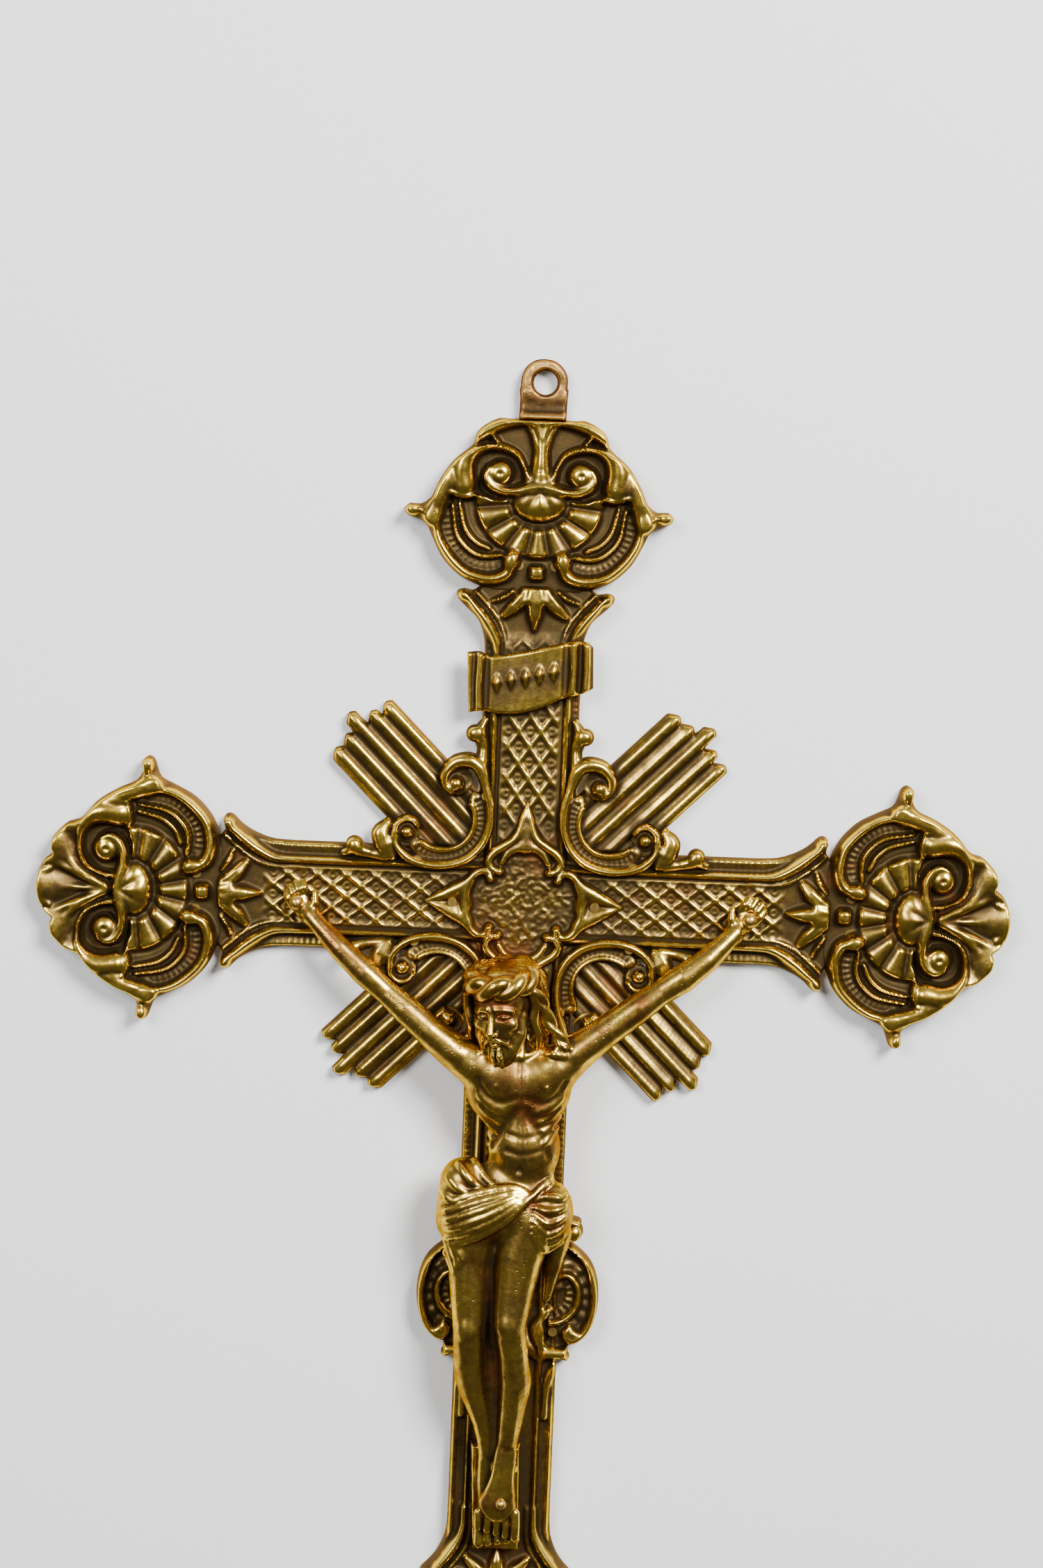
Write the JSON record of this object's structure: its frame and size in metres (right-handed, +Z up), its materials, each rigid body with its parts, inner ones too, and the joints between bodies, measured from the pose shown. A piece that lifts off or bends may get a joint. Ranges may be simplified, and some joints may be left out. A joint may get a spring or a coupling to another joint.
{
  "type": "hanging altar cross",
  "caption": "Cast brass crucifix with a hanging eye, shell-shaped ends, sunburst and corner scrolls, title ribbon and a crucified figure.",
  "frame": {"origin": "centre of the hanging hole, at the cross's flat back", "axes": "+Z up the shaft, +X to the viewer's right, front faces -Y, the flat back is the plane Y = 0"},
  "size_m": [0.192, 0.0204, 0.2816],
  "materials": {
    "cross_brass": "cast brass, worn bright on the high relief, dark brown patina in the recesses",
    "corpus_brass": "cast brass, polished by handling, with coppery wear and fine casting pits",
    "eye_brass": "rough cast brass, file marks, dull",
    "pin_brass": "drawn brass wire, peened and dark"
  },
  "bodies": {
    "root": {"cross_body": "cross_brass", "terminal_top": "cross_brass", "terminal_left": "cross_brass", "terminal_right": "cross_brass", "terminal_bottom": "cross_brass", "hanging_eye": "eye_brass", "glory_rays": "cross_brass", "scroll_upper_left": "cross_brass", "scroll_upper_right": "cross_brass", "scroll_lower_left": "cross_brass", "scroll_lower_right": "cross_brass", "shaft_scroll_left": "cross_brass", "shaft_scroll_right": "cross_brass", "centre_rosette": "cross_brass", "titulus": "cross_brass", "corpus": "corpus_brass", "foot_rest": "corpus_brass", "hand_pin_left": "pin_brass", "hand_pin_right": "pin_brass", "foot_pin": "pin_brass", "terminal_rivets": "pin_brass", "eye_rivet": "pin_brass", "glory_rivets": "pin_brass", "scroll_rivets": "pin_brass", "titulus_pins": "pin_brass", "rosette_pins": "pin_brass", "foot_rest_pin": "pin_brass"}
  },
  "joints": []
}
